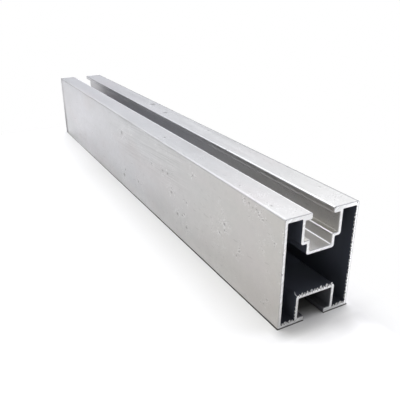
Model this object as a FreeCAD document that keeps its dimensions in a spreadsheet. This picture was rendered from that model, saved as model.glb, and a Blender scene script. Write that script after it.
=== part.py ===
import FreeCAD, Part
import enum
import os
import Sketcher

# A short length of hollow aluminium rail, the kind that carries solar modules on a roof.
# It is one extrusion: the same closed section from end to end, sawn square at both ends and
# filed round the outside of the cuts. Lengths are millimetres. X runs across the rail, Y along
# it and Z up. The origin lies under the middle of the rail, on the plane of its two feet.

NODE = "mounting_rail"
PARTS_FOLDER = "parts"

# Every size that can be set by itself, with what it measures.
DIMENSIONS = [
    ("rail_length", 360.0, "sawn length of the piece"),
    ("rail_width", 40.0, "across the two outer side faces"),
    ("rail_height", 54.0, "from the underside of the feet to the top"),
    ("side_wall", 1.4, "thickness of the tall outer walls"),
    ("top_wall", 1.9, "thickness of the top between side wall and channel"),
    ("bottom_wall", 1.8, "thickness of the foot between side wall and channel"),
    ("top_slot", 11.5, "gap between the two top lips"),
    ("top_lip", 3.0, "thickness of the lips that a clamp bolt pulls up against"),
    ("head_pocket_width", 18.6, "inside width of the pocket for a bolt head"),
    ("head_pocket_depth", 12.6, "from the top down to the ledges"),
    ("nut_pocket_width", 12.2, "inside width of the lower, narrower pocket"),
    ("nut_pocket_depth", 18.0, "from the top down to its floor"),
    ("pocket_wall", 1.5, "walls and ledges of the upper channel"),
    ("bottom_slot", 11.5, "gap between the two bottom lips"),
    ("bottom_lip", 2.5, "thickness of the bottom lips"),
    ("bolt_channel_width", 18.6, "inside width of the bottom channel"),
    ("bolt_channel_depth", 12.7, "from the underside up to the channel's roof"),
    ("bolt_channel_wall", 1.5, "thickness of the bottom channel's side walls"),
    ("bolt_channel_roof", 1.8, "thickness of the bottom channel's roof"),
    ("outer_radius", 1.0, "two outer corners of the top"),
    ("foot_radius", 0.5, "two outer corners of the feet"),
    ("bend_radius", 1.2, "corners of the channels that stand into the hollow"),
    ("root_radius", 0.5, "inner corners of the hollow"),
    ("pocket_radius", 0.3, "inner corners of the channels"),
    ("ledge_radius", 0.5, "edge where a ledge drops into the lower pocket"),
    ("top_tip_radius", 0.8, "edges of the top lips"),
    ("bottom_tip_radius", 0.5, "edges of the bottom lips"),
    ("arris", 0.25, "edge that a file has taken off round the outside of each sawn end"),
]

# Where the section's faces lie, worked out from the sizes above. The first group is measured
# from the rail's middle plane, the second from the ground.
PLACES = [
    ("outer_side", "Dimensions.rail_width / 2"),
    ("hollow_side", "outer_side - Dimensions.side_wall"),
    ("top_slot_side", "Dimensions.top_slot / 2"),
    ("head_pocket_side", "Dimensions.head_pocket_width / 2"),
    ("head_wall_side", "head_pocket_side + Dimensions.pocket_wall"),
    ("nut_pocket_side", "Dimensions.nut_pocket_width / 2"),
    ("nut_wall_side", "nut_pocket_side + Dimensions.pocket_wall"),
    ("bottom_slot_side", "Dimensions.bottom_slot / 2"),
    ("bolt_channel_side", "Dimensions.bolt_channel_width / 2"),
    ("bolt_wall_side", "bolt_channel_side + Dimensions.bolt_channel_wall"),
    ("top_face", "Dimensions.rail_height"),
    ("top_wall_under", "top_face - Dimensions.top_wall"),
    ("top_lip_under", "top_face - Dimensions.top_lip"),
    ("ledge_face", "top_face - Dimensions.head_pocket_depth"),
    ("ledge_under", "ledge_face - Dimensions.pocket_wall"),
    ("floor_face", "top_face - Dimensions.nut_pocket_depth"),
    ("floor_under", "floor_face - Dimensions.pocket_wall"),
    ("bottom_wall_face", "Dimensions.bottom_wall"),
    ("bottom_lip_face", "Dimensions.bottom_lip"),
    ("roof_under", "Dimensions.bolt_channel_depth"),
    ("roof_face", "roof_under + Dimensions.bolt_channel_roof"),
]

# The right half of the section, once round the metal: the distance from the middle plane, the
# height and the radius of each corner. None is the middle plane or the ground, or a sharp corner.
HALF_SECTION = [
    # up the hollow's side of the upper channel
    (None, "floor_under", None),
    ("nut_wall_side", "floor_under", "bend_radius"),
    ("nut_wall_side", "ledge_under", "root_radius"),
    ("head_wall_side", "ledge_under", "bend_radius"),
    ("head_wall_side", "top_wall_under", "root_radius"),
    # down the outer wall and over the bottom channel
    ("hollow_side", "top_wall_under", "root_radius"),
    ("hollow_side", "bottom_wall_face", "root_radius"),
    ("bolt_wall_side", "bottom_wall_face", "root_radius"),
    ("bolt_wall_side", "roof_face", "bend_radius"),
    (None, "roof_face", None),
    # down inside the bottom channel to its lip
    (None, "roof_under", None),
    ("bolt_channel_side", "roof_under", "pocket_radius"),
    ("bolt_channel_side", "bottom_lip_face", "pocket_radius"),
    ("bottom_slot_side", "bottom_lip_face", "bottom_tip_radius"),
    ("bottom_slot_side", None, "bottom_tip_radius"),
    # round the outside to the top lip
    ("outer_side", None, "foot_radius"),
    ("outer_side", "top_face", "outer_radius"),
    ("top_slot_side", "top_face", "top_tip_radius"),
    ("top_slot_side", "top_lip_under", "top_tip_radius"),
    # down inside the upper channel, over the ledge to the floor
    ("head_pocket_side", "top_lip_under", "pocket_radius"),
    ("head_pocket_side", "ledge_face", "pocket_radius"),
    ("nut_pocket_side", "ledge_face", "ledge_radius"),
    ("nut_pocket_side", "floor_face", "pocket_radius"),
    (None, "floor_face", None),
]


class Axis(enum.IntEnum):
    """How a sketch numbers its own axes. Its origin is the start of the level one."""

    LEVEL = -1
    UPRIGHT = -2


class Point(enum.IntEnum):
    """How a sketch numbers the two ends of a line or an arc."""

    START = 1
    END = 2


def make_dimensions(doc):
    """Puts the driving sizes on a sheet, one row each: name, millimetres and meaning."""
    sheet = doc.addObject("Spreadsheet::Sheet", "Dimensions")
    for row, (name, millimetres, meaning) in enumerate(DIMENSIONS, start=1):
        sheet.set(f"A{row}", name)
        sheet.set(f"B{row}", str(millimetres))
        sheet.setAlias(f"B{row}", name)
        sheet.set(f"C{row}", meaning)
    doc.recompute()
    return sheet


def make_places(doc):
    """Works out the section's faces on a second sheet, by formulas over the first."""
    sheet = doc.addObject("Spreadsheet::Sheet", "Places")
    for row, (name, formula) in enumerate(PLACES, start=1):
        sheet.set(f"A{row}", name)
        sheet.set(f"B{row}", "=" + formula)
        sheet.setAlias(f"B{row}", name)
        doc.recompute()
    return sheet


def origin_plane(body, role):
    """Finds one of a body's own base planes."""
    return next(feature for feature in body.Origin.OriginFeatures if feature.Role == role)


def bind(sketch, constraint, expression):
    """Adds a length constraint to a sketch and ties it to a cell."""
    index = sketch.addConstraint(constraint)
    sketch.setExpression(f"Constraints[{index}]", expression)


def corner_arc(corner, before, after, radius):
    """Gives the arc that rounds a corner between two unit directions, and says which of its
    ends meets the line that comes in. The sketcher keeps every arc anticlockwise."""
    centre = corner - before * radius + after * radius
    turns_left = before.x * after.y - before.y * after.x > 0
    first, last = (-after, before) if turns_left else (before, -after)
    flat = FreeCAD.Vector(1, 0, 0)
    up = FreeCAD.Vector(0, 0, 1)
    angles = []
    for spoke in (first, last):
        angle = flat.getAngle(spoke)
        angles.append(angle if spoke.y >= 0 else -angle)
    arc = Part.ArcOfCircle(Part.Circle(centre, up, radius), angles[0], angles[1])
    return arc, (Point.START if turns_left else Point.END)


def draw_outline(sketch, corners, dimensions, places):
    """Draws a closed outline of level and upright lines and rounds its corners. Each line is held
    by one distance and each arc by its radius, so that the sketch is fully constrained."""
    count = len(corners)
    points = [
        FreeCAD.Vector(places.get(x) if x else 0, places.get(z) if z else 0, 0)
        for x, z, radius in corners
    ]
    radii = [dimensions.get(radius) if radius else 0 for x, z, radius in corners]
    steps = [(points[(i + 1) % count] - points[i]).normalize() for i in range(count)]

    for i in range(count):
        start = points[i] + steps[i] * radii[i]
        end = points[(i + 1) % count] - steps[i] * radii[(i + 1) % count]
        line = sketch.addGeometry(Part.LineSegment(start, end), False)
        across, height, radius = corners[i]
        if corners[(i + 1) % count][1] == height:
            sketch.addConstraint(Sketcher.Constraint("Horizontal", line))
            direction, axis, place = "DistanceY", Axis.LEVEL, height
        else:
            sketch.addConstraint(Sketcher.Constraint("Vertical", line))
            direction, axis, place = "DistanceX", Axis.UPRIGHT, across
        if place:
            ends = (Axis.LEVEL, Point.START, line, Point.START)
            distance = Sketcher.Constraint(direction, *ends, places.get(place))
            bind(sketch, distance, f"Places.{place}")
        else:
            on_axis = Sketcher.Constraint("PointOnObject", line, Point.START, axis)
            sketch.addConstraint(on_axis)

    for i in range(count):
        line_in = (i - 1) % count
        meets_in = (line_in, Point.END)
        meets_out = (i, Point.START)
        radius = corners[i][2]
        if not radius:
            sketch.addConstraint(Sketcher.Constraint("Coincident", *meets_in, *meets_out))
            continue
        arc, end_in = corner_arc(points[i], steps[line_in], steps[i], radii[i])
        end_out = Point.END if end_in == Point.START else Point.START
        curve = sketch.addGeometry(arc, False)
        sketch.addConstraint(Sketcher.Constraint("Tangent", *meets_in, curve, end_in))
        sketch.addConstraint(Sketcher.Constraint("Tangent", curve, end_out, *meets_out))
        bind(sketch, Sketcher.Constraint("Radius", curve, radii[i]), f"Dimensions.{radius}")


def outer_end_edges(shape, dimensions):
    """Names the edges where the outside of the rail meets its two sawn faces. They run on round
    the lips and the channels, because every corner of the outline is rounded."""
    end = dimensions.get("rail_length") / 2
    near = dimensions.get("arris") / 2
    edges = []
    for face in shape.Faces:
        centre = face.CenterOfMass
        if abs(abs(centre.y) - end) < near:
            edges.extend(face.OuterWire.Edges)
    return [
        f"Edge{number}"
        for number, edge in enumerate(shape.Edges, start=1)
        if any(edge.isSame(outer) for outer in edges)
    ]


def make_rail(doc, dimensions, places):
    """Extrudes the right half of the section along the rail, mirrors it and breaks the edges
    round the outside of both sawn ends."""
    body = doc.addObject("PartDesign::Body", "Rail")
    body.Label = NODE

    section = body.newObject("Sketcher::SketchObject", "HalfSection")
    section.AttachmentSupport = [(origin_plane(body, "XZ_Plane"), "")]
    section.MapMode = "FlatFace"
    draw_outline(section, HALF_SECTION, dimensions, places)
    doc.recompute()

    half = body.newObject("PartDesign::Pad", "HalfRail")
    half.Profile = section
    half.SideType = "Symmetric"
    half.setExpression("Length", "Dimensions.rail_length")
    doc.recompute()

    whole = body.newObject("PartDesign::Mirrored", "WholeRail")
    whole.Originals = [half]
    whole.MirrorPlane = (section, ["V_Axis"])
    whole.Refine = True
    body.Tip = whole
    doc.recompute()

    filed = body.newObject("PartDesign::Chamfer", "FiledEnds")
    filed.Base = (whole, outer_end_edges(whole.Shape, dimensions))
    filed.setExpression("Size", "Dimensions.arris")
    body.Tip = filed
    body.Placement = FreeCAD.Placement()
    doc.recompute()
    return body


def check_document(doc):
    """Stops if any object of the document failed or a sketch can still be dragged."""
    for item in doc.Objects:
        if "Invalid" in item.State or "Error" in item.State:
            raise RuntimeError(f"{item.Label} failed: {item.State}")
        if item.TypeId == "Sketcher::SketchObject" and not item.FullyConstrained:
            raise RuntimeError(f"{item.Label} is not fully constrained")


def check_rail(body, dimensions):
    """Stops unless the rail is one sound solid of the length, width and height asked for."""
    shape = body.Shape
    if shape.isNull() or not shape.isValid() or len(shape.Solids) != 1:
        raise RuntimeError(f"{body.Label} is not one sound solid")
    box = shape.BoundBox
    measured = [box.XLength, box.YLength, box.ZLength]
    wanted = [dimensions.get(name) for name in ("rail_width", "rail_length", "rail_height")]
    tolerance = 0.01
    if any(abs(a - b) > tolerance for a, b in zip(measured, wanted)):
        raise RuntimeError(f"{body.Label} measures {measured}, not {wanted}")
    area = shape.Volume / dimensions.get("rail_length")
    print(f"{body.Label}: {measured} mm, section {area:.1f} mm2, {len(shape.Faces)} faces")


def main():
    doc = FreeCAD.newDocument("MountingRail")
    dimensions = make_dimensions(doc)
    places = make_places(doc)
    rail = make_rail(doc, dimensions, places)
    check_document(doc)
    check_rail(rail, dimensions)
    os.makedirs(PARTS_FOLDER, exist_ok=True)
    rail.Shape.exportStep(os.path.join(PARTS_FOLDER, f"{rail.Label}.step"))


main()
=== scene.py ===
# %% [markdown]
# # A short length of solar mounting rail
#
# The real thing is one piece: a hollow aluminium section, pressed through a die, anodised to a
# soft satin, and sawn off square at both ends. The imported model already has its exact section, so
# the work here is the finish: the drawn lines and small knocks of the skin, the bright cut ends,
# the burrs that the saw left, and the light that lets a matt metal look like metal.

# %% Load the frame
import math
import random

import bmesh
import bpy
from mathutils import Matrix, Vector


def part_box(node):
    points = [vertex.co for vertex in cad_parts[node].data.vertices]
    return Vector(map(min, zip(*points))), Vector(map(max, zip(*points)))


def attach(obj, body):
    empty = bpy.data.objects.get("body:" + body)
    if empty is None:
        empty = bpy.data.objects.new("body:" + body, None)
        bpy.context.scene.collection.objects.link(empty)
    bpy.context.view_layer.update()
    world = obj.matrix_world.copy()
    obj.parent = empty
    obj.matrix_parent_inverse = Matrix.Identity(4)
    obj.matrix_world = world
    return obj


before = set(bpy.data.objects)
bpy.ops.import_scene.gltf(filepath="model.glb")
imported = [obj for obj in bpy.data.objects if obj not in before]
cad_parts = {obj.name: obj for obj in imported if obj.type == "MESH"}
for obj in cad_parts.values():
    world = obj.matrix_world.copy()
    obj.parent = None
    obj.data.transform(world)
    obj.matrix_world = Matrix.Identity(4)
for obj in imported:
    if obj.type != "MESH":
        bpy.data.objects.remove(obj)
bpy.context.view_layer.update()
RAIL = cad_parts["mounting_rail"]
LOW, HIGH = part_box("mounting_rail")
print("rail, in metres:", [round(high - low, 4) for low, high in zip(LOW, HIGH)])

# %% [markdown]
# Every size below is a real one. Blender counts in metres, so a size in millimetres is multiplied
# by MM where it is written down, and the rest of the script never has to think about units. The
# near end of the rail lies at LOW.y and the far end at HIGH.y.

# %% Sizes of the section
MM = 0.001
SIDE_WALL = 1.4 * MM
TOP_WALL = 1.9 * MM
BOTTOM_WALL = 1.8 * MM
CHANNEL_WALL = 1.5 * MM
SLOT_HALF = 5.75 * MM
HEAD_POCKET_HALF = 9.3 * MM
HEAD_POCKET_FLOOR = 41.4 * MM
NUT_POCKET_HALF = 6.1 * MM
NUT_POCKET_FLOOR = 36.0 * MM
BOLT_CHANNEL_HALF = 9.3 * MM
BOLT_CHANNEL_ROOF = 12.7 * MM
ROOF_TOP = 14.5 * MM
print("outer half width:", round(HIGH.x / MM, 2), "mm")

# %% [markdown]
# The camera stands a little above and to the left of the near end, as for a picture of a product
# on a table. Its place was worked out from the corners of the rail. It is turned by aiming it at a
# point on the rail, and then rolled by a hair, since the picture was taken by hand.

# %% Camera
EYE = Vector((-133.8, -319.9, 141.4)) * MM
AIM = Vector((-11.6, -92.5, 27.0)) * MM
SENSOR = 36.0
LENS = 44.62
ROLL = math.radians(-0.27)
PICTURE_SIDE = 400


def add_camera():
    lens = bpy.data.cameras.new("product_camera")
    lens.sensor_width = SENSOR
    lens.lens = LENS
    lens.clip_start = 0.01
    lens.clip_end = 50.0
    camera = bpy.data.objects.new("product_camera", lens)
    bpy.context.scene.collection.objects.link(camera)
    camera.location = EYE
    turn = (AIM - EYE).to_track_quat("-Z", "Y").to_matrix()
    camera.rotation_euler = turn.to_euler()
    camera.rotation_euler.rotate_axis("Z", ROLL)
    bpy.context.scene.camera = camera


add_camera()
pixel = (AIM - EYE).length * SENSOR / LENS / PICTURE_SIDE
print("one pixel covers about", round(pixel / MM, 2), "mm of the rail")

# %% [markdown]
# Two small helpers serve every material. One turns a colour as a painter writes it, such as
# d9d8d5, into the linear numbers that Blender counts with. The other adds a node, sets it up,
# wires its inputs and hands on its output, so that a material reads from top to bottom like a
# recipe.

# %% Helpers for materials
def colour(code):
    """The linear colour of an sRGB hex value."""
    parts = [int(code[i:i + 2], 16) / 255 for i in (0, 2, 4)]
    linear = [p / 12.92 if p <= 0.04045 else ((p + 0.055) / 1.055) ** 2.4 for p in parts]
    return (*linear, 1.0)


def add_node(tree, kind, inputs=(), output=0, **settings):
    """Adds a node with its settings and links, and gives one of its outputs, or all for None.
    The inputs come in order, or by name or number. Each is an output, a value or a hex colour."""
    node = tree.nodes.new(kind)
    for name, value in settings.items():
        setattr(node, name, value)
    for socket, value in inputs.items() if isinstance(inputs, dict) else enumerate(inputs):
        if isinstance(value, bpy.types.NodeSocket):
            tree.links.new(value, node.inputs[socket])
        else:
            node.inputs[socket].default_value = colour(value) if isinstance(value, str) else value
    return node.outputs if output is None else node.outputs[output]


def new_material(name):
    """A material whose nodes have yet to be added."""
    material = bpy.data.materials.new(name)
    material.use_nodes = True
    material.node_tree.nodes.clear()
    return material, material.node_tree


print("the grey 808080 is", round(colour("808080")[0], 3), "in linear light")

# %% [markdown]
# A matt metal has hardly a colour of its own: it shows a blurred picture of what is round it. So
# the room is made first. Its light comes from a few soft patches of sky, each with a direction, a
# spread, a strength and a tint. Most of it falls from high up behind the rail, so that the top is
# lit and falls off towards the far end. The side and the cut end look down at the floor, and take
# their light from there. The camera itself sees plain white.

# %% The room's light
ROOM_FILL = 0.12
SKY_PATCHES = [
    # name, compass angle from the far end, height above the horizon, spread, strength, tint
    ("high behind", 0, 55, 38, 3.02, "eef1ff"),
    ("high behind right", 60, 55, 38, 2.48, "fffefa"),
    ("high behind left", 300, 55, 38, 1.66, "fffdf0"),
    ("wall on the right", 90, 28, 38, 1.92, "eaebff"),
    ("window on the left", 270, 4, 35, 0.90, "dde2ff"),
    ("room in front", 180, 50, 55, 0.30, "ffffff"),
]


def direction_of(compass, height):
    """The unit vector of a compass angle, clockwise from +Y, and a height, both in degrees."""
    turn = math.radians(compass)
    rise = math.radians(height)
    return Vector((math.sin(turn) * math.cos(rise), math.cos(turn) * math.cos(rise), math.sin(rise)))


def light_room():
    world = bpy.data.worlds.new("studio")
    bpy.context.scene.world = world
    world.use_nodes = True
    tree = world.node_tree
    tree.nodes.clear()
    looking = add_node(tree, "ShaderNodeTexCoord", output="Generated")
    total = (ROOM_FILL,) * 3
    for name, compass, height, spread, strength, tint in SKY_PATCHES:
        nearness = add_node(tree, "ShaderNodeVectorMath", (looking, direction_of(compass, height)),
                            output="Value", operation="DOT_PRODUCT")
        rim = math.cos(math.radians(spread))
        glow = add_node(tree, "ShaderNodeMapRange", (nearness, rim, 1.0, 0.0, strength),
                        interpolation_type="SMOOTHSTEP")
        patch = add_node(tree, "ShaderNodeVectorMath", {0: colour(tint)[:3], "Scale": glow},
                         operation="SCALE", label=name)
        total = add_node(tree, "ShaderNodeVectorMath", (patch, total), operation="ADD")
    seen = add_node(tree, "ShaderNodeLightPath", output="Is Camera Ray")
    shown = add_node(tree, "ShaderNodeMix", {0: seen, 6: total, 7: "ffffff"}, output=2, data_type="RGBA")
    background = add_node(tree, "ShaderNodeBackground", (shown,))
    add_node(tree, "ShaderNodeOutputWorld", (background,), output=None)


light_room()
print("patches of sky:", len(SKY_PATCHES))

# %% [markdown]
# One square lamp hangs straight above, as a softbox on a boom does. It is warmer than the window,
# and it sharpens the shadow under the edges just enough to set the rail down on the floor.

# %% The lamp
LAMP_HEIGHT = 1.60
LAMP_SIDE = 0.45
LAMP_POWER = 1.2
LAMP_TINT = "fff8ec"


def add_lamp():
    lamp = bpy.data.lights.new("softbox", "AREA")
    lamp.shape = "SQUARE"
    lamp.size = LAMP_SIDE
    lamp.energy = LAMP_POWER
    lamp.color = colour(LAMP_TINT)[:3]
    lamp_object = bpy.data.objects.new("softbox", lamp)
    bpy.context.scene.collection.objects.link(lamp_object)
    lamp_object.location = (0, 0, LAMP_HEIGHT)


add_lamp()
print("the softbox hangs", round((LAMP_HEIGHT - HIGH.z) / MM), "mm above the rail")

# %% [markdown]
# The floor and the metal are both dressed by where a point lies. Such a place is a mask: a number
# that is 1 there, 0 elsewhere and something between on a soft rim. It could be painted as a
# picture, but a mask that is worked out from a few distances in millimetres stays sharp at any
# size and is easy to move. Five helpers make masks and use them.

# %% Helpers for masks
def overlap(tree, *masks):
    """Where all the masks are, each at its own strength. A plain number thins the others."""
    product = masks[0]
    for mask in masks[1:]:
        product = add_node(tree, "ShaderNodeMath", (product, mask), operation="MULTIPLY")
    return product


def strongest(tree, *masks):
    """Where any of the masks is, at the strength of the strongest."""
    most = masks[0]
    for mask in masks[1:]:
        most = add_node(tree, "ShaderNodeMath", (most, mask), operation="MAXIMUM")
    return most


def ramps(tree, *rows):
    """A soft mask. Each row is a value, where its ramp starts and ends, and the strengths there,
    which are 0 and 1 unless they are given."""
    return overlap(tree, *[add_node(tree, "ShaderNodeMapRange", row) for row in rows])


def within(tree, *ranges):
    """A sharp mask, where every value lies in its range. A range is a value and its two ends."""
    sides = []
    for value, low, high in ranges:
        middle = (value, (low + high) / 2, (high - low) / 2)
        sides.append(add_node(tree, "ShaderNodeMath", middle, operation="COMPARE"))
    return overlap(tree, *sides)


def paint(tree, base, *coats):
    """Lays coats over a base, one after another. A coat is a mask, how much of it shows, and a
    colour."""
    for mask, amount, coat in coats:
        base = add_node(tree, "ShaderNodeMix", {0: overlap(tree, mask, amount), 6: base, 7: coat},
                        output=2, data_type="RGBA")
    return base


print("an edge looks soft when its ramp is longer than a pixel,", round(pixel / MM, 2), "mm")

# %% [markdown]
# The floor is a wide sheet of white card. It lights the side and the cut end of the rail from below,
# since a metal that looks down shows what lies there. A photographer lifts the paper to white and
# keeps only a soft shadow close to the thing. That could be done with more light, but the light
# would also fall on the rail. Here the card keeps one colour for the light that goes on to the
# rail, and only what the camera sees of it changes from place to place. In the shade of the rail it
# is painted paler, a painted light, and beside the rail, where the patches of sky fall on it, it is
# painted a little darker, a painted shade, so that both come out near white. Four places get a
# painted shadow: the seams under the two feet, the strip under the slot, the shadow that touches the
# foot of the cut, and its soft end in front of the right foot. From two centimetres to the right of
# the rail and behind it, and far away all round, the camera sees plain white.

# %% Floor
FLOOR_SIDE = 16.0
PLAIN_WHITE = "ffffff"
CARD_COLOUR = "e9e9e8"
SHADED_CARD_COLOUR = "f3f3f2"
LIT_CARD_COLOUR = "dededd"
# painted shadow on the card, where the rail stands on it and keeps the light off it
PAINTED_SHADOW_COLOUR = "4a4846"
SIDE_GAP = 0.50 * MM
END_GAP = 0.40 * MM
SHADOW_REACH = 0.30
WHITE_FROM = 0.75
# Each ramp is where it starts, where it ends, and the strengths there, if they aren't 0 and 1.
SHADE_STARTS = (LOW.y - 13 * MM, LOW.y - 6 * MM)
SHADE_ENDS = (LOW.y + 230 * MM, HIGH.y)
LIT_EDGE = (-5 * MM, 4 * MM)
WHITE_EDGE = (MM, 22 * MM)
SEAM_THINS = (LOW.y + 120 * MM, HIGH.y, 1.0, 0.35)
STRIP_STARTS = (LOW.y - 2 * MM, LOW.y + 8 * MM, 0.0, 0.86)
STRIP_ENDS = (HIGH.y - 8 * MM, HIGH.y + 2 * MM, 1.0, 0.0)
TOUCH_STARTS = (LOW.y - 9 * MM, LOW.y - 4 * MM)
TOUCH_ENDS = (LOW.y - MM, LOW.y + 3 * MM, 1.0, 0.0)
TOUCH_LEFT = (LOW.x - 5 * MM, LOW.x)
TOUCH_THINS = (-18 * MM, 9 * MM, 0.24, 0.04)
SOFT_STARTS = (LOW.y - 20 * MM, LOW.y - 13 * MM)
SOFT_ENDS = (LOW.y - 8 * MM, LOW.y - 5 * MM, 1.0, 0.0)
SOFT_LEFT = (0.0, 8 * MM, 0.0, 0.12)
SOFT_RIGHT = (HIGH.x, HIGH.x + 4 * MM, 1.0, 0.0)


def card_shadows(tree, x, y):
    """The painted shadow on the card, where the rail stands on it or keeps the light off it."""
    side = add_node(tree, "ShaderNodeMath", (x,), operation="ABSOLUTE")
    feet = overlap(tree, within(tree, (side, SLOT_HALF, HIGH.x + SIDE_GAP),
                                (y, LOW.y - END_GAP, HIGH.y + END_GAP)),
                   ramps(tree, (y, *SEAM_THINS)))
    slot = add_node(tree, "ShaderNodeMath", (side, SLOT_HALF), operation="LESS_THAN")
    strip = overlap(tree, slot, ramps(tree, (y, *STRIP_STARTS), (y, *STRIP_ENDS)))
    touch = ramps(tree, (y, *TOUCH_STARTS), (y, *TOUCH_ENDS), (x, *TOUCH_LEFT), (x, *TOUCH_THINS))
    soft = ramps(tree, (y, *SOFT_STARTS), (y, *SOFT_ENDS), (x, *SOFT_LEFT), (x, *SOFT_RIGHT))
    return strongest(tree, feet, strip, touch, soft)


def white_card():
    """Matt white card: it scatters light evenly, so it shows shadows and no shine."""
    material, tree = new_material("white_card")
    place = add_node(tree, "ShaderNodeTexCoord", output="Object")
    x, y = add_node(tree, "ShaderNodeSeparateXYZ", (place,), output=None)[:2]
    to_right = add_node(tree, "ShaderNodeMath", (x, HIGH.x), operation="SUBTRACT")
    to_back = add_node(tree, "ShaderNodeMath", (y, HIGH.y), operation="SUBTRACT")
    beyond = strongest(tree, to_right, to_back)
    seen_card = paint(tree, PLAIN_WHITE,
                      # mask, how much of it shows, colour
                      # the card is painted paler in the rail's shade and darker where the sky falls on it
                      (ramps(tree, (y, *SHADE_STARTS)), 1.0, SHADED_CARD_COLOUR),
                      (ramps(tree, (y, *SHADE_ENDS)), 1.0, PLAIN_WHITE),
                      (ramps(tree, (beyond, *LIT_EDGE)), 1.0, LIT_CARD_COLOUR),
                      # painted shadow close to the rail
                      (card_shadows(tree, x, y), 1.0, PAINTED_SHADOW_COLOUR))
    seen = add_node(tree, "ShaderNodeLightPath", output="Is Camera Ray")
    card = paint(tree, CARD_COLOUR, (seen, 1.0, seen_card))
    diffuse = add_node(tree, "ShaderNodeBsdfDiffuse", {"Color": card})
    white = add_node(tree, "ShaderNodeEmission", {"Color": PLAIN_WHITE, "Strength": 1.0})
    reach = add_node(tree, "ShaderNodeVectorMath", (place,), output="Value", operation="LENGTH")
    far = add_node(tree, "ShaderNodeMapRange", (reach, SHADOW_REACH, WHITE_FROM),
                   interpolation_type="SMOOTHSTEP")
    plain = strongest(tree, far, ramps(tree, (beyond, *WHITE_EDGE)))
    shown = add_node(tree, "ShaderNodeMixShader", (overlap(tree, plain, seen), diffuse, white))
    add_node(tree, "ShaderNodeOutputMaterial", {"Surface": shown}, output=None)
    return material


def make_floor():
    bpy.ops.object.select_all(action="DESELECT")
    bpy.ops.mesh.primitive_plane_add(size=FLOOR_SIDE, location=(0, 0, 0))
    floor = bpy.context.object
    floor.name = "floor"
    floor.data.materials.append(white_card())


make_floor()
print("the floor is plain white from", WHITE_FROM, "m on")

# %% [markdown]
# One bar of metal shows three surfaces here. The skin was etched and anodised to a soft satin. The
# inside of the hollow is duller, since the bath hardly reaches it, and it is painted darker, partly
# as its own bare skin and partly as painted shade. The cut ends are bare bright metal. They could be
# three materials on three sets of faces, but then each would need its own copy of the knocks and the
# light. One material that asks where it is keeps them together. A cut is told by which way its face
# looks, and the inside by where it lies.

# %% The surfaces of the bar
CUT_FACES = 0.85
FILED_FACES = 0.40


def section_masks(tree, x, z, normal):
    """Masks of the cut ends, the filed arris round them, the hollow and the bolt channel."""
    along = add_node(tree, "ShaderNodeSeparateXYZ", (normal,), output=1)
    end_on = add_node(tree, "ShaderNodeMath", (along,), operation="ABSOLUTE")
    cut = add_node(tree, "ShaderNodeMath", (end_on, CUT_FACES), operation="GREATER_THAN")
    filed = within(tree, (end_on, FILED_FACES, CUT_FACES))
    half_wall = CHANNEL_WALL / 2
    rooms = []
    for half, low, high in (
        (HIGH.x - SIDE_WALL / 2, BOTTOM_WALL / 2, HIGH.z - TOP_WALL / 2),
        (HEAD_POCKET_HALF + half_wall, HEAD_POCKET_FLOOR - half_wall, HIGH.z),
        (NUT_POCKET_HALF + half_wall, NUT_POCKET_FLOOR - half_wall, HIGH.z),
        (BOLT_CHANNEL_HALF + half_wall, 0.0, BOLT_CHANNEL_ROOF + half_wall),
    ):
        rooms.append(within(tree, (x, -half, half), (z, low, high)))
    inside, head_pocket, nut_pocket, bolt_channel = rooms
    channels = strongest(tree, head_pocket, nut_pocket, bolt_channel)
    hollow = add_node(tree, "ShaderNodeMath", (inside, channels), operation="SUBTRACT", use_clamp=True)
    return cut, filed, hollow, bolt_channel


print("a cut face looks along the rail to within", round(math.degrees(math.acos(CUT_FACES))), "degrees")

# %% [markdown]
# Edges are where the light and the metal's age show first. The ledges, the foot of the nut pocket
# and the left lip catch a thin bright line, which is a painted highlight. The top right corner gets
# painted shade and a rougher shine. The top left one mirrors both the dark and the bright half of the
# room, and is made less metallic, so that it doesn't glare. Where the feet meet the card a dark line
# of painted contact shadow runs along the rail, and at the far end of the left side the picture
# shows a narrow grey rim.

# %% The edges of the bar
LEDGE_SHINE = 0.75 * MM
FLOOR_CORNER_SHINE = 0.60 * MM
LIP_SHINE = 1.4 * MM
DULL_REACH = 1.7 * MM
CORNER_REACH = 1.6 * MM
GROUND_LINE = (0.20 * MM, 0.40 * MM, 1.0, 0.0)
ABOVE_GROUND = 0.02 * MM
RIM_ALONG = (HIGH.y - 9 * MM, HIGH.y - 4 * MM)
RIM_UP = (12 * MM, 36 * MM, 0.75, 0.22)


def near_line(tree, x, z, line_x, line_z, reach):
    """1 along a line that runs the length of the rail, fading to 0 at its reach."""
    across = add_node(tree, "ShaderNodeMath", (x, line_x), operation="SUBTRACT")
    up = add_node(tree, "ShaderNodeMath", (z, line_z), operation="SUBTRACT")
    away = add_node(tree, "ShaderNodeCombineXYZ", {0: across, 2: up})
    distance = add_node(tree, "ShaderNodeVectorMath", (away,), output="Value", operation="LENGTH")
    return ramps(tree, (distance, 0.5 * reach, reach, 1.0, 0.0))


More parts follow.
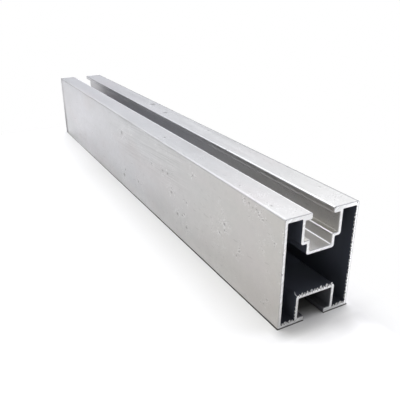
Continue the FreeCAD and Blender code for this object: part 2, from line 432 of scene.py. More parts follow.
def edge_masks(tree, x, y, z):
    """Masks of the painted highlights on the edges, the rougher right corner with its painted shade,
    the left corner, the painted contact shadow low on the rail and the grey rim at the far end."""
    side = add_node(tree, "ShaderNodeMath", (x,), operation="ABSOLUTE")
    # painted highlights along the ledges, the foot of the nut pocket and the left lip
    painted_highlights = strongest(tree, near_line(tree, side, z, NUT_POCKET_HALF, HEAD_POCKET_FLOOR, LEDGE_SHINE),
                         near_line(tree, side, z, NUT_POCKET_HALF, NUT_POCKET_FLOOR, FLOOR_CORNER_SHINE),
                         near_line(tree, x, z, -SLOT_HALF, HIGH.z, LIP_SHINE))
    # the top right corner: painted shade, and a rougher shine
    rough_shaded_corner = near_line(tree, x, z, HIGH.x, HIGH.z, DULL_REACH)
    corner = near_line(tree, x, z, LOW.x, HIGH.z, CORNER_REACH)
    off_ground = add_node(tree, "ShaderNodeMath", (z, ABOVE_GROUND), operation="GREATER_THAN")
    # a dark line of painted contact shadow, low on the rail
    ground = overlap(tree, ramps(tree, (z, *GROUND_LINE)), off_ground, ramps(tree, (y, *SEAM_THINS)))
    left_side = add_node(tree, "ShaderNodeMath", (x, LOW.x + MM), operation="LESS_THAN")
    rim = overlap(tree, ramps(tree, (y, *RIM_ALONG), (z, *RIM_UP)), left_side)
    return painted_highlights, rough_shaded_corner, corner, ground, rim


print("the widest polished edge is", round(LIP_SHINE / pixel, 1), "pixels wide")

# %% [markdown]
# Where the saw left a wall, its teeth tore out crumbs of metal. The gaps they leave are given a
# painted shade, at most half a millimetre deep on the wall and deeper on the roof of the bolt channel.
# A noise that changes only along the edge says how deep the gap is there, and what lies nearer to the
# edge than that gets the painted shade. Cutting them from the mesh would look the same from here and
# spoil its clean section.

# %% Torn gaps in the cut
NOTCH_PITCH = 0.8 * MM
NOTCH_DEEPEST = {"wall": 0.5 * MM, "roof": 1.4 * MM, "foot": 0.6 * MM}
NOTCH_NOISE = (0.45, 0.70)
JUST_OUTSIDE = 0.05 * MM
ROOF_AND_FOOT_SHARE = 0.75


def torn_gaps(tree, run, inward, deepest):
    """Painted shade in the gaps of a cut face along a torn edge. run goes along the edge and inward away
    from it.
    """
    lumps = add_node(tree, "ShaderNodeTexNoise", {"Vector": run, "Scale": 1 / NOTCH_PITCH,
                                                  "Detail": 1.0, "Roughness": 0.6})
    depth = ramps(tree, (lumps, *NOTCH_NOISE, 0.0, deepest))
    torn = add_node(tree, "ShaderNodeMath", (inward, depth), operation="LESS_THAN")
    return overlap(tree, torn, within(tree, (inward, -JUST_OUTSIDE, deepest)))


def tear_masks(tree, x, z):
    """The gaps up the right wall, along the roof of the bolt channel and along both feet."""
    up = add_node(tree, "ShaderNodeCombineXYZ", {2: z})
    across = add_node(tree, "ShaderNodeCombineXYZ", {0: x})
    side = add_node(tree, "ShaderNodeMath", (x,), operation="ABSOLUTE")
    from_wall = add_node(tree, "ShaderNodeMath", (x, HIGH.x - SIDE_WALL), operation="SUBTRACT")
    from_roof = add_node(tree, "ShaderNodeMath", (ROOF_TOP, z), operation="SUBTRACT")
    from_foot = add_node(tree, "ShaderNodeMath", (BOTTOM_WALL, z), operation="SUBTRACT")
    over_channel = add_node(tree, "ShaderNodeMath", (side, BOLT_CHANNEL_HALF), operation="LESS_THAN")
    over_foot = within(tree, (side, BOLT_CHANNEL_HALF + CHANNEL_WALL, HIGH.x - SIDE_WALL))
    wall = torn_gaps(tree, up, from_wall, NOTCH_DEEPEST["wall"])
    roof = overlap(tree, torn_gaps(tree, across, from_roof, NOTCH_DEEPEST["roof"]), over_channel)
    foot = overlap(tree, torn_gaps(tree, across, from_foot, NOTCH_DEEPEST["foot"]), over_foot)
    return strongest(tree, wall, overlap(tree, strongest(tree, roof, foot), ROOF_AND_FOOT_SHARE))


print("the deepest gap is", round(max(NOTCH_DEEPEST.values()) / pixel, 1), "pixels deep")

# %% [markdown]
# The die scores the metal as it is pressed out, so every line runs the whole length. A noise that is
# stretched a hundred times along Y gives such lines on every face at once. The lines of a real die
# are finer than a pixel here, so they are drawn about a millimetre apart. The saw leaves lines too,
# across the cut and at a slant, as the blade came down. Scratches from handling are short dashes: a
# cell pattern is stretched to slivers, and only a few cells are kept. High on the left side another
# rail was dragged along this one and left a patch of fine parallel scuffs.

# %% Lines of the die, the saw and the handling
DIE_LINE = 1.1 * MM
DIE_LINE_LENGTH = 140 * MM
SAW_LINE = 0.55 * MM
SAW_LINE_LENGTH = 9 * MM
SAW_SLANT = math.radians(40)
SCRATCH_WIDTH = 0.7 * MM
SCRATCH_LENGTH = 22 * MM
SCRATCH_SLANTS = [math.radians(6), math.radians(-14)]
SCRATCH_SHARE = 0.15
SCRATCH_WANDER = 9 * MM
SCRATCH_BEND = 1.5 * MM
DASH_RIM = (0.10, 0.28, 1.0, 0.0)
SCUFF_WIDTH = 0.8 * MM
SCUFF_LENGTH = 40 * MM
SCUFF_SLANT = math.radians(3.5)
SCUFF_MIDDLE = LOW.y + 145 * MM
SCUFF_REACH = (35 * MM, 65 * MM, 1.0, 0.0)
SCUFF_HEIGHT = (24 * MM, 36 * MM)
DARK_SCUFFS = (0.52, 0.66)
LIGHT_SCUFFS = (0.34, 0.48, 1.0, 0.0)


def stretched(tree, place, sizes, turn=(0, 0, 0)):
    """Turned coordinates that count one for each size along x, y and z."""
    turned = add_node(tree, "ShaderNodeMapping", {"Vector": place, "Rotation": turn})
    scale = [1 / size for size in sizes]
    return add_node(tree, "ShaderNodeMapping", {"Vector": turned, "Scale": scale})


def streaks(tree, place, sizes, turn=(0, 0, 0), detail=3.0, roughness=0.6):
    """A noise whose lumps have these sizes along x, y and z."""
    moved = stretched(tree, place, sizes, turn)
    return add_node(tree, "ShaderNodeTexNoise", {"Vector": moved, "Scale": 1.0, "Detail": detail,
                                                 "Roughness": roughness})


def die_lines(tree, place):
    return streaks(tree, place, (DIE_LINE, DIE_LINE_LENGTH, DIE_LINE))


def saw_lines(tree, place):
    return streaks(tree, place, (SAW_LINE_LENGTH, SAW_LINE, SAW_LINE), (0, SAW_SLANT, 0), 4.0, 0.65)


def scratches(tree, place, slant):
    """Short thin dashes along the rail, at a slant. A cell keeps its dash if its own number is low."""
    wavy = add_node(tree, "ShaderNodeTexNoise", {"Vector": place, "Scale": 1 / SCRATCH_WANDER,
                                                 "Detail": 2.0, "Roughness": 0.6}, output=1)
    bend = add_node(tree, "ShaderNodeVectorMath", (wavy, (SCRATCH_BEND,) * 3), operation="MULTIPLY")
    moved = add_node(tree, "ShaderNodeVectorMath", (place, bend), operation="ADD")
    sizes = (SCRATCH_WIDTH * 2, SCRATCH_LENGTH, SCRATCH_WIDTH * 2)
    slivers = stretched(tree, moved, sizes, (slant, 0, slant))
    cells = add_node(tree, "ShaderNodeTexVoronoi", {"Vector": slivers, "Scale": 1.0}, output=None)
    dash = ramps(tree, (cells["Distance"], *DASH_RIM))
    chance = add_node(tree, "ShaderNodeSeparateXYZ", (cells["Color"],))
    kept = add_node(tree, "ShaderNodeMath", (chance, SCRATCH_SHARE), operation="LESS_THAN")
    return overlap(tree, dash, kept)


def scuffs(tree, place, x, y, z):
    """The dark and the light lines of the scuffed patch high on the left side."""
    sizes = (SCUFF_LENGTH, SCUFF_LENGTH, SCUFF_WIDTH)
    lines = streaks(tree, place, sizes, (SCUFF_SLANT, 0, 0), 2.0)
    along = add_node(tree, "ShaderNodeMath", (y, SCUFF_MIDDLE), operation="SUBTRACT")
    away = add_node(tree, "ShaderNodeMath", (along,), operation="ABSOLUTE")
    left_side = add_node(tree, "ShaderNodeMath", (x, LOW.x + MM), operation="LESS_THAN")
    patch = overlap(tree, ramps(tree, (away, *SCUFF_REACH), (z, *SCUFF_HEIGHT)), left_side)
    dark = overlap(tree, ramps(tree, (lines, *DARK_SCUFFS)), patch)
    light = overlap(tree, ramps(tree, (lines, *LIGHT_SCUFFS)), patch)
    return dark, light


print("die lines", round(DIE_LINE / MM, 2), "mm apart, saw lines", round(SAW_LINE / MM, 2), "mm")

# %% [markdown]
# The rail has been handled. Each nick is written as its distance from the near end, its height or
# its place across the top, and its size. A few deep ones sit on the edges of the cut. Round the
# nicks the skin is stippled with tiny pits, some dark and some with a bright rim, as where grit was
# pressed in, and a slow noise puts a few more stippled spots elsewhere.

# %% Nicks and pits
SIDE_NICKS = [
    # mm from the near end, mm above the floor, radius in mm
    (190.2, 9.7, 1.5), (187.4, 14.6, 0.9), (190.0, 41.8, 1.5), (162.0, 14.0, 1.0),
    (136.8, 35.1, 0.7), (119.8, 35.9, 0.9), (112.6, 36.3, 0.9), (107.7, 26.0, 1.0),
    (107.6, 28.8, 0.6), (100.1, 15.1, 1.0), (93.4, 16.7, 0.7), (90.8, 18.4, 0.7),
    (88.5, 11.1, 0.9), (87.9, 27.1, 0.6), (80.2, 45.9, 0.6), (51.2, 24.9, 0.6),
    (46.5, 31.5, 0.8), (46.4, 28.2, 0.5), (34.9, 19.9, 0.5), (32.4, 23.4, 0.5),
    (20.1, 50.4, 0.5), (18.6, 49.6, 0.4), (17.7, 48.5, 0.4), (11.3, 6.8, 0.4),
    (9.3, 10.3, 0.4), (6.1, 40.4, 0.4), (29.5, 51.8, 0.5), (26.0, 51.2, 0.5),
    (23.0, 50.2, 0.4), (14.8, 47.6, 0.4), (12.5, 48.5, 0.3),
]
TOP_NICKS = [
    # mm from the near end, mm from the middle, radius in mm
    (211.5, 14.2, 2.0), (183.5, 12.0, 1.7), (127.0, -14.8, 0.9), (127.2, 16.1, 0.6),
    (89.0, 5.9, 0.8), (39.6, -16.5, 0.5), (20.6, 15.2, 0.5), (14.0, -16.8, 0.7),
]
CUT_NICKS = [
    # mm from the middle, mm above the floor, radius in mm
    (-19.9, 47.2, 0.35), (-19.9, 43.0, 0.20), (-19.9, 38.0, 0.40), (-19.9, 33.6, 0.20),
    (-19.9, 28.3, 0.45), (-19.9, 24.0, 0.20), (-19.9, 17.0, 0.20), (-18.7, 9.0, 0.25),
    (6.2, 53.7, 0.45), (8.0, 53.9, 0.20), (14.5, 53.9, 0.20), (19.9, 36.0, 0.20),
]
NICK_STRETCH = 0.7
RAGGED = 0.8 * MM
RAGGED_SWING = 1.6 * RAGGED
PIT = 1.5 * MM
PIT_SHARE = 0.60
STIPPLE = 15 * MM
STIPPLE_REACH = (1.5, 7.0, 1.0, 0.0)
STIPPLE_SPOTS = (0.52, 0.72, 0.0, 0.6)
PIT_HOLE = (0.12, 0.34, 1.0, 0.0)
PIT_RIM = (0.36, 0.54)


def nick_points():
    """Every nick as a point on the rail's surface and a radius, in metres."""
    points = []
    for along, up, radius in SIDE_NICKS:
        points.append((Vector((LOW.x, LOW.y + along * MM, up * MM)), radius * MM))
    for along, across, radius in TOP_NICKS:
        points.append((Vector((across * MM, LOW.y + along * MM, HIGH.z)), radius * MM))
    for across, up, radius in CUT_NICKS:
        points.append((Vector((across * MM, LOW.y, up * MM)), radius * MM))
    return points


def nick_distance(tree, place):
    """How many radii away the nearest nick is, with a ragged rim."""
    squeeze = Vector((1.0, NICK_STRETCH, 1.0))
    ragged = add_node(tree, "ShaderNodeTexNoise", {"Vector": place, "Scale": 1 / RAGGED,
                                                   "Detail": 3.0, "Roughness": 0.6}, output=1)
    swing = (ragged, (RAGGED_SWING,) * 3, (-RAGGED_SWING / 2,) * 3)
    shift = add_node(tree, "ShaderNodeVectorMath", swing, operation="MULTIPLY_ADD")
    moved = add_node(tree, "ShaderNodeVectorMath", (place, shift), operation="ADD")
    flat = add_node(tree, "ShaderNodeVectorMath", (moved, squeeze), operation="MULTIPLY")
    nearest = None
    for centre, radius in nick_points():
        away = add_node(tree, "ShaderNodeVectorMath", (flat, centre * squeeze), output="Value",
                        operation="DISTANCE")
        radii = add_node(tree, "ShaderNodeMath", (away, radius), operation="DIVIDE")
        if nearest is None:
            nearest = radii
        else:
            nearest = add_node(tree, "ShaderNodeMath", (nearest, radii), operation="MINIMUM")
    return nearest


def pits(tree, place, nicks):
    """Dark pits and bright rims, thick round the nicks and in a few spots elsewhere."""
    slow = add_node(tree, "ShaderNodeTexNoise", {"Vector": place, "Scale": 1 / STIPPLE,
                                                 "Detail": 2.0, "Roughness": 0.6})
    spots = strongest(tree, ramps(tree, (nicks, *STIPPLE_REACH)), ramps(tree, (slow, *STIPPLE_SPOTS)))
    cells = add_node(tree, "ShaderNodeTexVoronoi", {"Vector": place, "Scale": 1 / PIT}, output=None)
    chance = add_node(tree, "ShaderNodeSeparateXYZ", (cells["Color"],))
    kept = add_node(tree, "ShaderNodeMath", (chance, PIT_SHARE), operation="LESS_THAN")
    stippled = overlap(tree, spots, kept)
    dark = overlap(tree, ramps(tree, (cells["Distance"], *PIT_HOLE)), stippled)
    rim = overlap(tree, within(tree, (cells["Distance"], *PIT_RIM)), stippled)
    return dark, rim


print("nicks:", len(nick_points()))

# %% [markdown]
# The skin comes first. Away from the top it carries painted light: warmer and darker at the near end
# and cooler and paler at the far one, as the light falls along the rail, with slow clouds between, as
# the depth of the anodic film drifts. Anodised aluminium reflects about six tenths of the light, and
# bare aluminium more, and that alone makes the ends stand out. The side gets painted shade, greyer
# towards the top, and painted light from the card, paler at the foot and towards the far end. The
# head pocket gets painted shade further in, and the floor of the nut pocket painted light. The top
# has its own plain skin and so is paler than the side, greyed with painted shade on its left side and
# towards the far end, and a fine grain lies over it all. Each of these is a thin coat over the one
# before, as a painter would glaze a panel.

# %% The skin
# painted light: away from the top the skin is warmer and darker at the near end, cooler and paler at the far
# one
WARM_SKIN = ("c3c0ba", "cfccc6")
COOL_SKIN = ("ccccce", "d6d6d8")
TOP_SKIN = ("c9c9c8", "d4d4d3")
# painted light and shade of the skin: the greying towards the top, the two sheens, the pocket's shade and
# the top's greying
UPPER_GREY = "a0a0a0"
FAR_SHEEN = "eceaf2"
FOOT_SHEEN = "f2f2f0"
POCKET_SHADE = "6a6a6e"
TOP_SHADE_GREY = "8c8c8e"
GREY_CLOUD = "b9bab9"
ROSE_CLOUD = "c6c0c0"
GRAIN_COLOUR = "8f8f8f"
BRIGHT_EDGE = "f4f4f4"
CLOUD = 26 * MM
CLOUD_LENGTH = 60 * MM
ROSE_TURN = (0, 2, 0)
GRAIN = 5 * MM
SKIN_DEEP = 0.2 * MM
TOP_DEEP = 0.6 * MM
POCKET_TOP = 52 * MM
GRAIN_NOISE = (0.42, 0.58)
GREY_NOISE = (0.45, 0.70)
ROSE_NOISE = (0.50, 0.72)
WARM_TO_COOL = (LOW.y, LOW.y + 160 * MM)
GREYS_UPWARDS = (4 * MM, 52 * MM, 0.0, 0.28)
SHEEN_COMES = (LOW.y + 180 * MM, LOW.y + 300 * MM, 0.0, 0.35)
SHEEN_GOES = (LOW.y + 295 * MM, LOW.y + 335 * MM, 1.0, 0.2)
SHEEN_UPWARDS = (5 * MM, 45 * MM, 1.0, 0.3)
FOOT_UPWARDS = (MM, 9 * MM, 0.30, 0.0)
POCKET_ALONG = (LOW.y + 60 * MM, LOW.y + 220 * MM, 0.0, 0.35)
# painted shade on the top, towards the far end and on its left side
TOP_SHADE_ALONG = (LOW.y + 150 * MM, HIGH.y, 0.0, 0.25)
TOP_SHADE_ACROSS = (-8 * MM, -3 * MM, 0.12, 0.0)


def skin_colour(tree, place, x, y, z, die):
    """The satin skin before it was handled, with its painted light and painted shade."""
    near_skin, far_skin, top_skin = [
        paint(tree, dark, (die, 1.0, light)) for dark, light in (WARM_SKIN, COOL_SKIN, TOP_SKIN)
    ]
    head_pocket = within(tree, (x, -HEAD_POCKET_HALF - SKIN_DEEP, HEAD_POCKET_HALF + SKIN_DEEP),
                         (z, HEAD_POCKET_FLOOR, POCKET_TOP))
    nut_floor = within(tree, (x, -NUT_POCKET_HALF, NUT_POCKET_HALF),
                       (z, NUT_POCKET_FLOOR - SKIN_DEEP, NUT_POCKET_FLOOR + SKIN_DEEP))
    top = add_node(tree, "ShaderNodeMath", (z, HIGH.z - TOP_DEEP), operation="GREATER_THAN")
    top_shade = strongest(tree, ramps(tree, (y, *TOP_SHADE_ALONG)), ramps(tree, (x, *TOP_SHADE_ACROSS)))
    speckle = add_node(tree, "ShaderNodeTexNoise", {"Vector": place, "Scale": 1 / GRAIN,
                                                    "Detail": 5.0, "Roughness": 0.9})
    sizes = (CLOUD, CLOUD_LENGTH, CLOUD)
    grey = streaks(tree, place, sizes)
    rose = streaks(tree, place, sizes, ROSE_TURN)
    return paint(tree, near_skin,
                 # mask, how much of it shows, colour
                 # painted light: warmer and darker near, cooler and paler far
                 (ramps(tree, (y, *WARM_TO_COOL)), 1.0, far_skin),
                 # painted shade, greyer towards the top
                 (ramps(tree, (z, *GREYS_UPWARDS)), 1.0, UPPER_GREY),
                 # painted reflection, paler towards the far end
                 (ramps(tree, (y, *SHEEN_COMES), (y, *SHEEN_GOES), (z, *SHEEN_UPWARDS)), 1.0, FAR_SHEEN),
                 # painted light from the card, paler at the foot
                 (ramps(tree, (z, *FOOT_UPWARDS)), 1.0, FOOT_SHEEN),
                 # painted shade in the head pocket, deeper further from the near end
                 (head_pocket, ramps(tree, (y, *POCKET_ALONG)), POCKET_SHADE),
                 (top, 1.0, top_skin),
                 # painted shade on the top, towards the far end and on its left side
                 (top, top_shade, TOP_SHADE_GREY),
                 # painted light on the floor of the nut pocket
                 (nut_floor, 0.35, BRIGHT_EDGE),
                 (ramps(tree, (speckle, *GRAIN_NOISE)), 0.09, GRAIN_COLOUR),
                 (ramps(tree, (grey, *GREY_NOISE)), 0.4, GREY_CLOUD),
                 (ramps(tree, (rose, *ROSE_NOISE)), 0.4, ROSE_CLOUD))


print("the clouds of the film are", round(CLOUD / MM), "mm wide and", round(CLOUD_LENGTH / MM), "mm long")

# %% [markdown]
# Now the other layers go on in turn: the scuffs, scratches, pits and nicks of handling, the painted
# highlights and painted shade of the edges, the dark inside, and last the saw cut and a painted
# contact shadow low on the feet. The light hardly finds its way into a deep hollow, and an eye or a
# camera lifts such a shade more than a render does. So the painted shade of the inside is darkest at
# its mouths and a little paler deep in. The narrow bolt channel is the other way round: its painted
# shade is darkest deep in.

# %% Wear, the inside and the cut
# the darkest grey: painted contact shadow at the feet, painted shade in the torn gaps, the nicks of the cut
# and the grey rim
DARKEST_GREY = "343434"
KNOCK_COLOUR = "6f6d6b"
# painted shade on the filed arris round the cut
SHADED_ARRIS_GREY = "929294"
# painted shade for the top right corner and the right edge of the cut
GREY_EDGE = "68686a"
BARE_BRIGHT = "ffffff"
INSIDE_COLOURS = ("50545e", "969ba8")
CHANNEL_COLOURS = ("626266", "18181a")
CUT_COLOURS = ("c8c8c7", "f5f5f5")
SAW_NOISE = (0.35, 0.65)
NICK_RIM = (0.3, 1.2, 1.0, 0.0)
NEAR_MOUTH = (LOW.y + 5 * MM, LOW.y + 50 * MM)
FAR_MOUTH = (HIGH.y - 50 * MM, HIGH.y - 5 * MM, 1.0, 0.0)
BRIGHT_ACROSS = (9 * MM, 18.5 * MM, 0.25, 0.95)
# where the right edge of the cut gets painted shade
RIGHT_EDGE = (HIGH.x - 0.55 * MM, HIGH.x - 0.30 * MM, 0.0, 0.70)


def worn_skin_and_painted_edges(tree, skin, place, x, y, z, nicks, edges):
    """The skin after it was handled, with the painted highlights and painted shade of its edges."""
    painted_highlights, rough_shaded_corner, rim = edges
    pit, pit_rim = pits(tree, place, nicks)
    dark_scuff, light_scuff = scuffs(tree, place, x, y, z)
    scratch = strongest(tree, *[scratches(tree, place, slant) for slant in SCRATCH_SLANTS])
    return paint(tree, skin,
                 # mask, how much of it shows, colour
                 (dark_scuff, 0.15, KNOCK_COLOUR),
                 (light_scuff, 0.14, BRIGHT_EDGE),
                 (scratch, 0.21, KNOCK_COLOUR),
                 (pit_rim, 0.36, BRIGHT_EDGE),
                 (pit, 0.60, KNOCK_COLOUR),
                 (ramps(tree, (nicks, *NICK_RIM)), 0.60, KNOCK_COLOUR),
                 # painted shade on the top right corner
                 (rough_shaded_corner, 0.85, GREY_EDGE),
                 # painted highlights on the edges
                 (painted_highlights, 0.9, BRIGHT_EDGE),
                 (rim, 1.0, DARKEST_GREY))


def lined_inside(tree, skin, y, hollow, bolt_channel):
    """The skin, and behind it the dark walls of the bolt channel and the hollow, partly their own duller
    skin and partly painted shade.
    """
    # the dark walls: partly their own duller skin, partly painted shade, darkest at the hollow's mouths and
    # deep in the bolt channel
    deep = ramps(tree, (y, *NEAR_MOUTH), (y, *FAR_MOUTH))
    channel_wall, hollow_wall = [
        paint(tree, mouth, (deep, 1.0, middle)) for mouth, middle in (CHANNEL_COLOURS, INSIDE_COLOURS)
    ]
    return paint(tree, skin, (bolt_channel, 1.0, channel_wall), (hollow, 1.0, hollow_wall))


def sawn_metal(tree, x, z, saw, nicks):
    """The bare metal of the cut, with its saw lines, nicks and torn gaps."""
    nicked = overlap(tree, ramps(tree, (nicks, *NICK_RIM)), 0.85)
    return paint(tree, CUT_COLOURS[0],
                 # mask, how much of it shows, colour
                 (ramps(tree, (saw, *SAW_NOISE)), 1.0, CUT_COLOURS[1]),
                 (ramps(tree, (x, *BRIGHT_ACROSS)), 1.0, BARE_BRIGHT),
                 # painted shade in the torn gaps, and the nicks of the cut
                 (strongest(tree, nicked, tear_masks(tree, x, z)), 1.0, DARKEST_GREY))


print("the dark mouths of the hollow reach", round((NEAR_MOUTH[1] - LOW.y) / MM), "mm in")

# %% [markdown]
# The layers make one colour. The shine is a second matter. Satin anodising scatters light within a
# cone, at a roughness of about four tenths, and a sawn face scatters it wider. The inside hardly
# mirrors at all: its rough, half oxidised skin is given a metallic value well below one. The lines
# of the die and the saw are also a hair deep, and a bump lets them catch the light. A metal keeps
# the default IOR.

# %% Anodised aluminium
SATIN = (0.3, 0.7, 0.38, 0.46)
SAWN = (0.3, 0.7, 0.42, 0.60)
DULL_ROUGHER = 0.18
INSIDE_ROUGHNESS = 0.70
INSIDE_METAL = 0.4
CORNER_METAL = 0.4
DIE_RELIEF = 0.15
LINE_DEPTH = 0.06 * MM
LINE_STRENGTH = 0.4


def anodised_aluminium():
    """Satin anodised aluminium: soft, pale and faintly lined, with bare bright ends."""
    material, tree = new_material("satin_anodised_aluminium")
    where = add_node(tree, "ShaderNodeTexCoord", output=None)
    place = where["Object"]
    x, y, z = add_node(tree, "ShaderNodeSeparateXYZ", (place,), output=None)
    cut, filed, hollow, bolt_channel = section_masks(tree, x, z, where["Normal"])
    painted_highlights, rough_shaded_corner, corner, ground, rim = edge_masks(tree, x, y, z)
    die = die_lines(tree, place)
    saw = saw_lines(tree, place)
    nicks = nick_distance(tree, place)

    skin = skin_colour(tree, place, x, y, z, die)
    skin = worn_skin_and_painted_edges(tree, skin, place, x, y, z, nicks, (painted_highlights, rough_shaded_corner, rim))
    skin = lined_inside(tree, skin, y, hollow, bolt_channel)
    # painted shade on the right edge of the cut, which looks away from the light
    right_edge = overlap(tree, ramps(tree, (x, *RIGHT_EDGE)), strongest(tree, cut, filed))
    base = paint(tree, skin,
                 # mask, how much of it shows, colour
                 (cut, 1.0, sawn_metal(tree, x, z, saw, nicks)),
                 # painted shade on the filed arris
                 (filed, 0.45, SHADED_ARRIS_GREY),
                 (right_edge, 1.0, GREY_EDGE),
                 # painted contact shadow low on the feet
                 (ground, 0.9, DARKEST_GREY))

    dark_walls = strongest(tree, hollow, bolt_channel)
    inside = add_node(tree, "ShaderNodeMath", (dark_walls, cut), operation="SUBTRACT", use_clamp=True)
    satin = add_node(tree, "ShaderNodeMath", (ramps(tree, (die, *SATIN)), overlap(tree, rough_shaded_corner, DULL_ROUGHER)),
                     operation="ADD")
    outside = add_node(tree, "ShaderNodeMix", {0: cut, 2: satin, 3: ramps(tree, (saw, *SAWN))})
    roughness = add_node(tree, "ShaderNodeMix", {0: inside, 2: outside, 3: INSIDE_ROUGHNESS})
    bare_metal = ramps(tree, (corner, 0.0, 1.0, 1.0, CORNER_METAL))
    metal = add_node(tree, "ShaderNodeMix", {0: inside, 2: bare_metal, 3: INSIDE_METAL})
    relief = add_node(tree, "ShaderNodeMix", {0: cut, 2: overlap(tree, die, DIE_RELIEF), 3: saw})
    bump = add_node(tree, "ShaderNodeBump", {"Height": relief, "Strength": LINE_STRENGTH,
                                              "Distance": LINE_DEPTH})
    shader = add_node(tree, "ShaderNodeBsdfPrincipled",
                      {"Base Color": base, "Roughness": roughness, "Metallic": metal, "Normal": bump})
    add_node(tree, "ShaderNodeOutputMaterial", {"Surface": shader}, output=None)
    return material


ALUMINIUM = anodised_aluminium()
for slot in RAIL.material_slots:
    slot.material = ALUMINIUM
print("nodes in the finish:", len(ALUMINIUM.node_tree.nodes))

# %% [markdown]
# The saw pushes a little metal ahead of it, and where a tooth leaves a thin wall, that metal stays as
# a row of small bright spurs. They stand on the edges where the blade came out. One spur is modelled:
# a short round stub, whose top face is extruded three times, each time narrower and a little further
# over, then smoothed. Every spur of the rail is a copy of it, with its own height and lean.

# %% One spur
SPUR_WIDTH = 1.0 * MM
SPUR_HEIGHT = 1.0 * MM
SPUR_SIDES = 8
STUB_SHARE = 0.2
LOOKS_UP = 0.9
SPUR_STAGES = [
    # share of the height, shift as a share of the width, narrowing
    (0.25, 0.02, 0.85), (0.30, 0.06, 0.70), (0.25, 0.10, 0.55),
]


def pick_faces(piece, wanted):
    """In edit mode, selects just the faces for which wanted is true."""
    shape = bmesh.from_edit_mesh(piece.data)
    for face in shape.faces:
        face.select_set(False)
    for face in shape.faces:
        if wanted(face):
            face.select_set(True)
    bmesh.update_edit_mesh(piece.data)


def smooth_out(piece, levels):
    """Rounds a piece by subdivision, for good."""
    rounding = piece.modifiers.new("rounding", "SUBSURF")
    rounding.levels = levels
    bpy.ops.object.modifier_apply(modifier=rounding.name)
    bpy.ops.object.shade_smooth()


def model_spur():
    stub = STUB_SHARE * SPUR_HEIGHT
    bpy.ops.object.select_all(action="DESELECT")
    bpy.ops.mesh.primitive_cylinder_add(vertices=SPUR_SIDES, radius=SPUR_WIDTH / 2, depth=stub,
                                        location=(0, 0, stub / 2))
    spur = bpy.context.object
    bpy.ops.object.transform_apply(location=True)
    bpy.ops.object.mode_set(mode="EDIT")
    bpy.ops.mesh.select_mode(type="FACE")
    pick_faces(spur, lambda face: face.normal.z > LOOKS_UP)
    for rise, shift, narrowing in SPUR_STAGES:
        step = (shift * SPUR_WIDTH, 0.0, rise * SPUR_HEIGHT)
        bpy.ops.mesh.extrude_region_move(TRANSFORM_OT_translate={"value": step})
        bpy.ops.transform.resize(value=(narrowing, narrowing, 1.0))
    bpy.ops.object.mode_set(mode="OBJECT")
    smooth_out(spur, 1)
    return spur


SPUR = model_spur()
print("one spur:", len(SPUR.data.polygons), "faces")

# %% [markdown]
# The spurs stand in four rows: on the roof of the bolt channel, on the insides of the feet, and in a
# fine row up the inside of the right wall and up the left wall of the bolt channel, where the blade
# chattered. Each row becomes one joined piece. Heights and leans are chosen one by one where a spur
# is plain to see. The chatter up a wall keeps one pitch, with a seeded variation in place, height
# and width. One more spur on the roof is larger and was rubbed grey, so it stays a piece of its own.

# %% Spurs along the edges
ROOF_SPURS = [
    # mm from the middle, height in mm, width in mm, lean to the right in degrees
    (-8.9, 0.35, 0.8, 0), (-7.6, 0.75, 1.2, 10), (-6.0, 0.40, 0.9, 0), (-4.5, 0.70, 1.2, -10),
    (-0.4, 0.55, 1.1, 10), (1.1, 0.55, 1.2, 0), (3.1, 1.05, 1.7, -8), (4.8, 0.45, 0.9, 0),
    (6.5, 1.00, 1.8, -8), (8.0, 0.35, 0.9, 0), (9.4, 0.80, 1.4, 10),
]
RUBBED_SPURS = [(-2.3, 0.95, 2.0, -15)]
FOOT_SPURS = [
    (-17.5, 0.40, 0.9, 0), (-16.1, 0.90, 1.5, 10), (-14.9, 0.35, 0.8, 0), (-13.5, 0.75, 1.6, -10),
    (-11.9, 0.40, 0.9, 0), (12.2, 0.40, 0.9, 0), (13.9, 0.70, 1.4, 10), (15.1, 0.35, 0.9, 0),
    (16.3, 0.95, 1.5, -10), (17.6, 0.40, 0.9, 0),
]
CHATTER_PITCH = 1.9 * MM
CHATTER_HEIGHT = 0.30 * MM
CHATTER_SHIFTS = (-0.25, 0.25)
CHATTER_HEIGHTS = (0.4, 1.4)
CHATTER_WIDTHS = (0.55, 0.90)
CHATTERED_WALL = (4 * MM, 51 * MM)
CHATTERED_CHANNEL = (3 * MM, 12 * MM)
SUNK_SHARE = 0.35
SPUR_DEPTH = 0.6 * MM
SAW_SEED = 7


def copy_of(piece, matrix):
    """A copy with its own mesh, moved within that mesh."""
    copy = piece.copy()
    copy.data = piece.data.copy()
    bpy.context.scene.collection.objects.link(copy)
    copy.data.transform(matrix)
    return copy


def join_pieces(pieces, name):
    bpy.ops.object.select_all(action="DESELECT")
    for piece in pieces:
        piece.select_set(True)
    bpy.context.view_layer.objects.active = pieces[0]
    bpy.ops.object.join()
    joined = bpy.context.object
    joined.name = name
    return joined


def spur_at(x, z, height, width, lean):
    """A spur at the near end that stands so far out of the wall, its root sunk in the wall."""
    tall = height / (1 - SUNK_SHARE)
    size = Matrix.Diagonal((width / SPUR_WIDTH, SPUR_DEPTH / SPUR_WIDTH, tall / SPUR_HEIGHT, 1.0))
    turn = Matrix.Rotation(math.radians(lean), 4, "Y")
    spot = Matrix.Translation((x, LOW.y + SPUR_DEPTH / 2, z))
    sink = Matrix.Translation((0.0, 0.0, -SUNK_SHARE * tall))
    return copy_of(SPUR, spot @ turn @ sink @ size)


def row_of_spurs(name, spurs, edge_height):
    pieces = []
    for across, height, width, lean in spurs:
        pieces.append(spur_at(across * MM, edge_height, height * MM, width * MM, lean))
    return join_pieces(pieces, name)


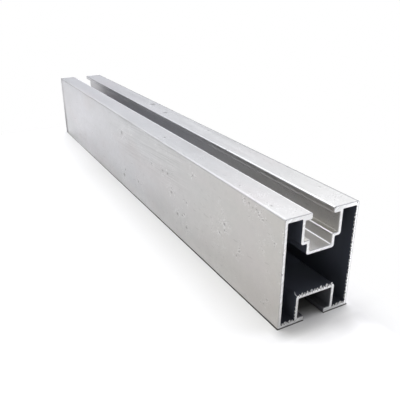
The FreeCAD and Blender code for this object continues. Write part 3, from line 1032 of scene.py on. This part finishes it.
def chatter(name, x, low, high, towards):
    """Low ripples up a wall. towards is 1 where they stand out to the right and -1 to the left."""
    chance = random.Random(SAW_SEED)
    pieces = []
    for step in range(int((high - low) / CHATTER_PITCH)):
        z = low + (step + chance.uniform(*CHATTER_SHIFTS)) * CHATTER_PITCH
        height = CHATTER_HEIGHT * chance.uniform(*CHATTER_HEIGHTS)
        width = CHATTER_PITCH * chance.uniform(*CHATTER_WIDTHS)
        pieces.append(spur_at(x, z, height, width, 90 * towards))
    return join_pieces(pieces, name)


WALL_INSIDE = HIGH.x - SIDE_WALL
BURRS = [
    row_of_spurs("roof_spurs", ROOF_SPURS, ROOF_TOP),
    row_of_spurs("foot_spurs", FOOT_SPURS, BOTTOM_WALL),
    chatter("right_wall_chatter", WALL_INSIDE, *CHATTERED_WALL, -1),
    chatter("bolt_channel_chatter", -BOLT_CHANNEL_HALF - CHANNEL_WALL, *CHATTERED_CHANNEL, -1),
]
RUBBED_BURR = row_of_spurs("rubbed_spur", RUBBED_SPURS, ROOF_TOP)
bpy.data.objects.remove(SPUR)
for burr in BURRS:
    print(burr.name, len(burr.data.polygons), "faces")

# %% [markdown]
# At the left corner of the bolt channel's roof one sliver of metal didn't break off. It curls up and
# away from the corner. It is made as it grew: a thin stub, pushed on a step at a time, each step
# turned a little further and a little thinner than the last.

# %% The curled burr
CURL_ROOT = Vector((-10.2, 0.0, 14.1)) * MM
CURL_WIDTH = 0.75 * MM
CURL_STEP = 0.50 * MM
CURL_STEPS = 7
CURL_STUB = 0.3 * MM
CURL_TAPER = 0.86
CURL_START = math.radians(-50)
CURL_TURN = math.radians(7)


def model_curl():
    bpy.ops.object.select_all(action="DESELECT")
    bpy.ops.mesh.primitive_cylinder_add(vertices=SPUR_SIDES, radius=CURL_WIDTH / 2, depth=CURL_STUB)
    curl = bpy.context.object
    bpy.ops.object.mode_set(mode="EDIT")
    bpy.ops.mesh.select_mode(type="FACE")
    pick_faces(curl, lambda face: face.normal.z > LOOKS_UP)
    for step in range(CURL_STEPS):
        angle = CURL_START + step * CURL_TURN
        onward = (CURL_STEP * math.sin(angle), 0.0, CURL_STEP * math.cos(angle))
        bpy.ops.mesh.extrude_region_move(TRANSFORM_OT_translate={"value": onward})
        bpy.ops.transform.resize(value=(CURL_TAPER,) * 3)
    bpy.ops.object.mode_set(mode="OBJECT")
    smooth_out(curl, 1)
    curl.data.transform(Matrix.Translation(CURL_ROOT + Vector((0.0, LOW.y + CURL_WIDTH / 2, 0.0))))
    curl.name = "curled_burr"
    return curl


CURL = model_curl()
print("curled burr reaches to z", round(max(v.co.z for v in CURL.data.vertices) / MM, 2), "mm")

# %% [markdown]
# Torn metal is as bright as the cut but duller in shine, since its surface is crumpled. A fine noise
# moves both its colour and its roughness. The curled sliver and the largest spur were rubbed hot by
# the blade, and so they are grey.

# %% Torn metal
CRUMPLE = 0.6 * MM
TORN_ROUGHNESS = (0.45, 0.65)
TORN_COLOURS = ("d8d8d6", "fafaf9")
RUBBED_COLOURS = ("8a8c90", "cfd1d3")


def torn_aluminium(name, dark, light):
    """Bare aluminium that the saw tore: crumpled, so its shine is broken up."""
    material, tree = new_material(name)
    place = add_node(tree, "ShaderNodeTexCoord", output="Object")
    crumple = add_node(tree, "ShaderNodeTexNoise", {"Vector": place, "Scale": 1 / CRUMPLE, "Detail": 3.0})
    base = paint(tree, dark, (crumple, 1.0, light))
    rough = ramps(tree, (crumple, 0.0, 1.0, *TORN_ROUGHNESS))
    shader = add_node(tree, "ShaderNodeBsdfPrincipled", {"Base Color": base, "Roughness": rough,
                                                         "Metallic": 1.0})
    add_node(tree, "ShaderNodeOutputMaterial", {"Surface": shader}, output=None)
    return material


def dress(piece, material):
    piece.data.materials.clear()
    piece.data.materials.append(material)
    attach(piece, "root")


TORN = torn_aluminium("torn_bare_aluminium", *TORN_COLOURS)
RUBBED = torn_aluminium("rubbed_grey_aluminium", *RUBBED_COLOURS)
for burr in BURRS:
    dress(burr, TORN)
for burr in (CURL, RUBBED_BURR):
    dress(burr, RUBBED)
print("dressed:", [piece.name for piece in BURRS + [CURL, RUBBED_BURR]])

# %% [markdown]
# The picture is kept as plain as the light: no film look, no added contrast.

# %% Finish
bpy.context.scene.view_settings.view_transform = "Standard"
